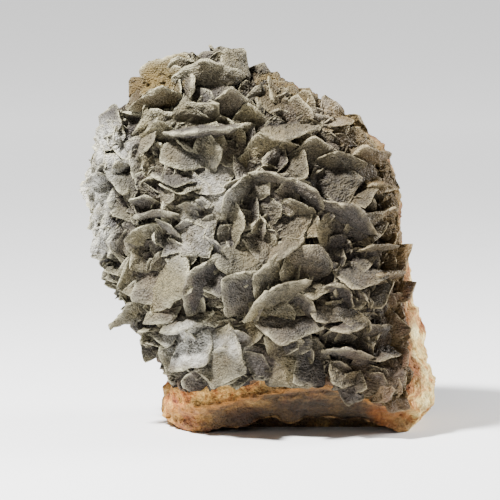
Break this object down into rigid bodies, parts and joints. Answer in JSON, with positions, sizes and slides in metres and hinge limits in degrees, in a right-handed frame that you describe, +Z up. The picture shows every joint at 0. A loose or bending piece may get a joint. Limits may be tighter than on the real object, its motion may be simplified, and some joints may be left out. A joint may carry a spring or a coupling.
{
  "type": "calcite specimen",
  "caption": "Upright slab of iron-stained rock whose front, left side and top carry a dense crust of grey-beige lens-shaped calcite crystals; it rests on its broken lower edge",
  "frame": {"origin": "on the plane of the flat foot, at the middle of the bounding box in X and Y", "axes": "+Z up, the crystal face looks along -Y, +X is to the right of someone who looks at it"},
  "size_m": [0.118, 0.0709, 0.1268],
  "materials": {
    "iron_stained_rock": "rough broken rock, orange-brown with cream and red-brown patches",
    "grey_calcite": "matte to faintly glittering granular crystal, grey-beige with paler edges"
  },
  "bodies": {
    "root": {"rock_matrix": "iron_stained_rock", "calcite_crystal_crust": "grey_calcite"}
  },
  "joints": []
}
